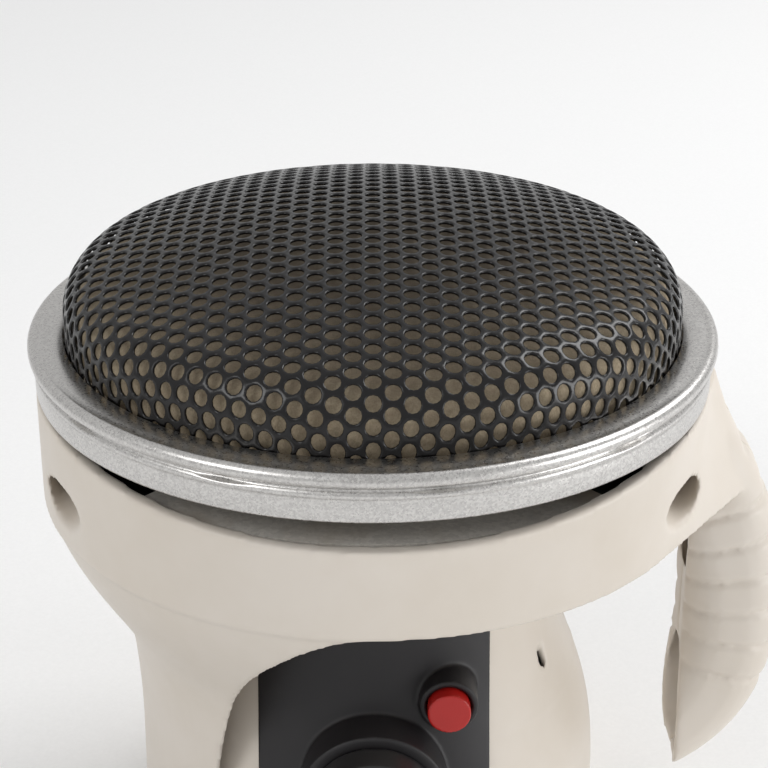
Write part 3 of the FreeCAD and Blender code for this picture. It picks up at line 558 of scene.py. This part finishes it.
pad = piece_from(felt_dome(), "catalyst_felt_dome", catalyst_felt)
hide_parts("catalyst_pad")
print("pad", len(pad.data.polygons), "faces")

# %% [markdown]
# ## The rolled ring
# The ring is one sheet: a flange that holds the guard down, a rolled bead, a crease, a narrow
# second band and a skirt. Its outline is a few points and an arc, spun in one-degree steps. At
# the crease the press has lanced short tongues inwards. There the crease opens into a crescent:
# points above it are pushed in, and the lip below is pushed out to catch the light.

# %% The ring's outline and its stakes
RING_STEPS = 360
SAME = 0.01 * MM            # points this near are the same point of the outline
# how far a stake moves each role's points outwards and upwards, in millimetres
STAKE_MOVES = {"over": (0.35, 0.1), "slot": (-1.5, 0.0), "lip": (0.25, -0.55)}
skirt_radius = 88.0 * MM
ring_top_drop = ring_level - ring_high.z
STAKE_HALF = math.radians(4.7)
STAKE_TURNS = [math.radians(-90 - 23.3 + 33.1 * k) for k in range(11)]


def ring_line():
    """Outline of the ring, as (radius, height above the ring's widest line, role)."""
    bead = ring_radius - bead_radius
    inner = guard_radius + 0.3 * MM
    flange_top = -ring_top_drop
    line = [(inner, 0.0, ""), (inner, flange_top - 0.25 * MM, ""), (inner + 0.25 * MM, flange_top, ""),
            (inner + 3.0 * MM, flange_top - 0.12 * MM, ""), (bead - 1.9 * MM, flange_top + 0.1 * MM, "")]
    for i in range(11):
        angle = math.radians(115 - 17.5 * i)
        line.append((bead + bead_radius * math.cos(angle), bead_radius * math.sin(angle), ""))
    line += [(skirt_radius - 0.75 * MM, -2.15 * MM, "over"), (skirt_radius - 1.0 * MM, -2.5 * MM, "slot"),
             (skirt_radius - 0.55 * MM, -2.85 * MM, "lip"), (skirt_radius - 0.05 * MM, -3.3 * MM, ""),
             (skirt_radius, -4.0 * MM, ""), (skirt_radius - 0.25 * MM, -4.6 * MM, ""),
             (skirt_radius - 0.55 * MM, -4.9 * MM, ""), (skirt_radius - 0.45 * MM, -5.5 * MM, ""),
             (skirt_radius - 0.45 * MM, -skirt_drop + 0.4 * MM, ""),
             (skirt_radius - 0.6 * MM, -skirt_drop, ""), (skirt_radius - 1.1 * MM, -skirt_drop, ""),
             (skirt_radius - 1.25 * MM, -skirt_drop + 0.3 * MM, ""),
             (skirt_radius - 1.3 * MM, -5.2 * MM, ""), (skirt_radius - 2.2 * MM, -2.4 * MM, ""),
             (skirt_radius - 3.0 * MM, 0.0, ""), (inner, 0.0, "")]
    return line


def rolled_ring():
    line = ring_line()
    mesh = spun([(radius, ring_level + height) for radius, height, _ in line], RING_STEPS)
    for vert in mesh.verts:
        turn = math.atan2(vert.co.y, vert.co.x)
        radius = math.hypot(vert.co.x, vert.co.y)
        height = vert.co.z - ring_level
        near = [r for out, up, r in line if abs(out - radius) < SAME and abs(up - height) < SAME]
        role = next((r for r in near if r), "")
        if not role:
            continue
        for stake in STAKE_TURNS:
            off = math.remainder(turn - stake, 2 * math.pi) / STAKE_HALF
            if abs(off) < 1:
                swell = math.cos(off * math.pi / 2) ** 0.8
                push, lift = STAKE_MOVES[role]
                grown = (radius + push * swell * MM) / radius
                vert.co.x *= grown
                vert.co.y *= grown
                vert.co.z += lift * swell * MM
    bmesh.ops.recalc_face_normals(mesh, faces=mesh.faces)
    return mesh


ring = piece_from(rolled_ring(), "rolled_ring", ring_steel)
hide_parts("retaining_ring")
print("ring", len(ring.data.polygons), "faces,", len(STAKE_TURNS), "stakes")

# %% [markdown]
# ## Moulded parts
# The CAD halves of the housing have the right shape, but their edges are sharp and their meshes
# are loose triangles. Real mouldings have no sharp edge. A copy of the mesh is welded, rebuilt
# as small even squares, and smoothed, which rounds every edge a little and leaves a fine groove
# where two halves meet, as a parting line does.

# %% Soft edges for moulded parts
WELD = 0.01 * MM


def moulded(node, name, material, voxel, passes, body="root"):
    """A piece with the CAD node's shape and softened edges."""
    data = nodes[node].data.copy()
    data.name = name
    source = bpy.data.objects.new(name, data)
    bpy.context.scene.collection.objects.link(source)
    weld = source.modifiers.new("weld", "WELD")
    weld.merge_threshold = WELD
    remesh = source.modifiers.new("remesh", "REMESH")
    remesh.mode = "VOXEL"
    remesh.voxel_size = voxel
    remesh.use_smooth_shade = True
    relax = source.modifiers.new("relax", "SMOOTH")
    relax.factor = 0.5
    relax.iterations = passes
    bpy.context.view_layer.update()
    ready = bpy.data.meshes.new_from_object(source.evaluated_get(bpy.context.evaluated_depsgraph_get()))
    bpy.data.objects.remove(source)
    ready.name = name
    ready.materials.clear()
    ready.materials.append(material)
    piece = bpy.data.objects.new(name, ready)
    bpy.context.scene.collection.objects.link(piece)
    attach(piece, body)
    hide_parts(node)
    print(name, len(ready.polygons), "faces")
    return piece


moulded("housing_front", "front_moulding", housing_plastic, 0.9 * MM, 6)
moulded("housing_rear", "rear_moulding", housing_plastic, 0.9 * MM, 6)
moulded("barrel", "barrel_moulding", housing_plastic, 0.9 * MM, 5)
moulded("control_panel", "panel_moulding", panel_plastic, 0.45 * MM, 4)
moulded("control_knob", "knob_moulding", knob_plastic, 0.35 * MM, 5, "knob")
moulded("igniter_button", "button_moulding", button_plastic, 0.3 * MM, 4, "button")

# %% [markdown]
# ## The pieces that stay as they are
# Pressed and turned parts keep their CAD meshes. Their triangles are loose, so a weld and an edge
# split let round faces shade smoothly while real edges stay crisp. Each gets its own finish.

# %% Finishes for the CAD pieces
KEPT = {
    "heat_shield": shield_steel, "burner_pan": ring_steel, "diffuser_screen": plain_steel,
    "insulation_mat": ceramic_mat, "inner_liner": liner_plastic, "shield_spacers": plain_steel,
    "head_posts": plain_steel, "head_screws": plain_steel, "housing_screws": plain_steel,
    "barrel_screws": plain_steel, "regulator": zinc, "cylinder_gasket": rubber, "depressor_pin": brass,
    "regulator_plate": shield_steel, "plate_screws": plain_steel, "regulator_nut": plain_steel,
    "gas_jet": brass, "mixing_tube": ring_steel, "valve_body": brass, "valve_nut": plain_steel,
    "valve_stem": plain_steel, "piezo_plunger": button_plastic, "piezo_igniter": liner_plastic,
    "spark_electrode": plain_steel, "electrode_sleeve": ceramic, "igniter_lead": rubber,
}
for node, material in KEPT.items():
    part = nodes[node]
    part.data.materials.clear()
    part.data.materials.append(material)
    for face in part.data.polygons:
        face.use_smooth = True
    weld = part.modifiers.new("weld", "WELD")
    weld.merge_threshold = WELD
    split = part.modifiers.new("crisp", "EDGE_SPLIT")
    split.split_angle = math.radians(32)
print(len(KEPT), "CAD pieces finished")

# %% [markdown]
# ## Studio
# The heater stands on a pale floor in an evenly white room. What the camera sees of the room is
# white, but what lights the object is softer, so that pale plastic keeps its colour. Three large
# soft lamps shape it: one high behind on the right, a weak one at the front left, and one low on
# the right that brightens the handle's side.

# %% Floor, room and lamps
FLOOR_HALF = 6.0            # metres
FLOOR_GAP = 0.2 * MM
floor_mesh = bmesh.new()
bmesh.ops.create_grid(floor_mesh, x_segments=1, y_segments=1, size=FLOOR_HALF,
                      matrix=Matrix.Translation((0, 0, cad_box[0].z - FLOOR_GAP)))
floor_finish = Finish("studio_floor")
paper = floor_finish.noise(900.0, 2.0)
floor_tint = floor_finish.mix(paper, colour(240, 240, 240), colour(248, 248, 248))
floor_material = floor_finish.finish(Base_Color=floor_tint, Roughness=0.9)
floor_data = bpy.data.meshes.new("studio_floor")
floor_mesh.to_mesh(floor_data)
floor_mesh.free()
floor_data.materials.append(floor_material)
floor = bpy.data.objects.new("studio_floor", floor_data)
bpy.context.scene.collection.objects.link(floor)

ROOM_LIGHT = 0.62
world = bpy.data.worlds.new("room")
bpy.context.scene.world = world
world.use_nodes = True
room = world.node_tree
background = room.nodes["Background"]
path = room.nodes.new("ShaderNodeLightPath")
seen = room.nodes.new("ShaderNodeMath")
seen.operation = "MAXIMUM"
room.links.new(path.outputs["Is Camera Ray"], seen.inputs[0])
room.links.new(path.outputs["Is Transmission Ray"], seen.inputs[1])
strength = room.nodes.new("ShaderNodeMapRange")
strength.inputs["To Min"].default_value = ROOM_LIGHT
strength.inputs["To Max"].default_value = 1.0
room.links.new(seen.outputs[0], strength.inputs["Value"])
room.links.new(strength.outputs[0], background.inputs["Strength"])
background.inputs["Color"].default_value = (1, 1, 1, 1)


def soft_lamp(name, place, size, power):
    data = bpy.data.lights.new(name, "AREA")
    data.shape = "DISK"
    data.size = size
    data.energy = power
    lamp = bpy.data.objects.new(name, data)
    bpy.context.scene.collection.objects.link(lamp)
    lamp.location = place
    lamp.rotation_euler = (ring_centre - Vector(place)).to_track_quat("-Z", "Y").to_euler()


soft_lamp("lamp_back_right", (0.9, 0.7, 1.3), 0.9, 11.0)
soft_lamp("lamp_front_left", (-0.9, -0.8, 0.9), 0.6, 4.0)
soft_lamp("lamp_right", (1.3, -0.5, 0.15), 0.8, 8.5)
bpy.context.scene.view_settings.view_transform = "Standard"
print("room light", ROOM_LIGHT)
